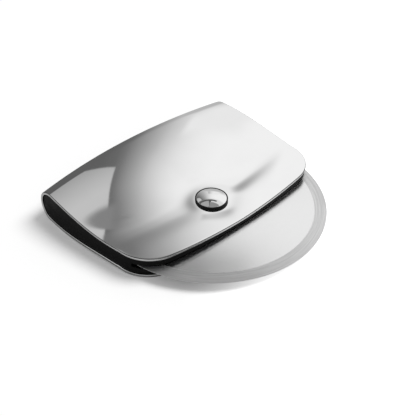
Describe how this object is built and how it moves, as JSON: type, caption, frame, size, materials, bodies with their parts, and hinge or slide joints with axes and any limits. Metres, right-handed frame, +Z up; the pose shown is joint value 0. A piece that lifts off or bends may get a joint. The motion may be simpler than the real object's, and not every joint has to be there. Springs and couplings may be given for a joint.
{
  "type": "pizza wheel",
  "caption": "Palm-held pizza wheel: a round bevelled steel blade that spins between the leaves of one folded, polished steel sheet.",
  "frame": {"origin": "middle of the footprint on the table, with the wheel lying on its side at rest", "axes": "+Z up from the table; +X from the fold toward the blade's open front; +Y across the shell"},
  "size_m": [0.1078, 0.108, 0.0151],
  "materials": {
    "polished_sheet": "mirror-polished stainless sheet",
    "black_insert": "fine satin moulded plastic",
    "turned_steel": "turned steel",
    "ground_blade": "polished flat with a ground bevel",
    "bush_bronze": "turned bearing bronze",
    "white_plastic": "slippery plastic washer",
    "polished_cap": "mirror-polished stainless steel",
    "black_seal": "thin black seal"
  },
  "bodies": {
    "grip": {"folded_shell": "polished_sheet", "insert_upper": "black_insert", "insert_lower": "black_insert", "insert_pins": "turned_steel", "thrust_washer_upper": "white_plastic", "thrust_washer_lower": "white_plastic", "axle_barrel": "polished_cap", "axle_screw": "polished_cap", "cap_seal_upper": "black_seal", "cap_seal_lower": "black_seal"},
    "wheel": {"blade": "ground_blade", "blade_bush": "bush_bronze"}
  },
  "joints": [
    {"name": "blade_spin", "type": "hinge", "parent": "grip", "child": "wheel", "pos_m": [0.00395, 0, 0.0055], "axis": [0.0421, 0, 0.9991], "continuous": true}
  ]
}
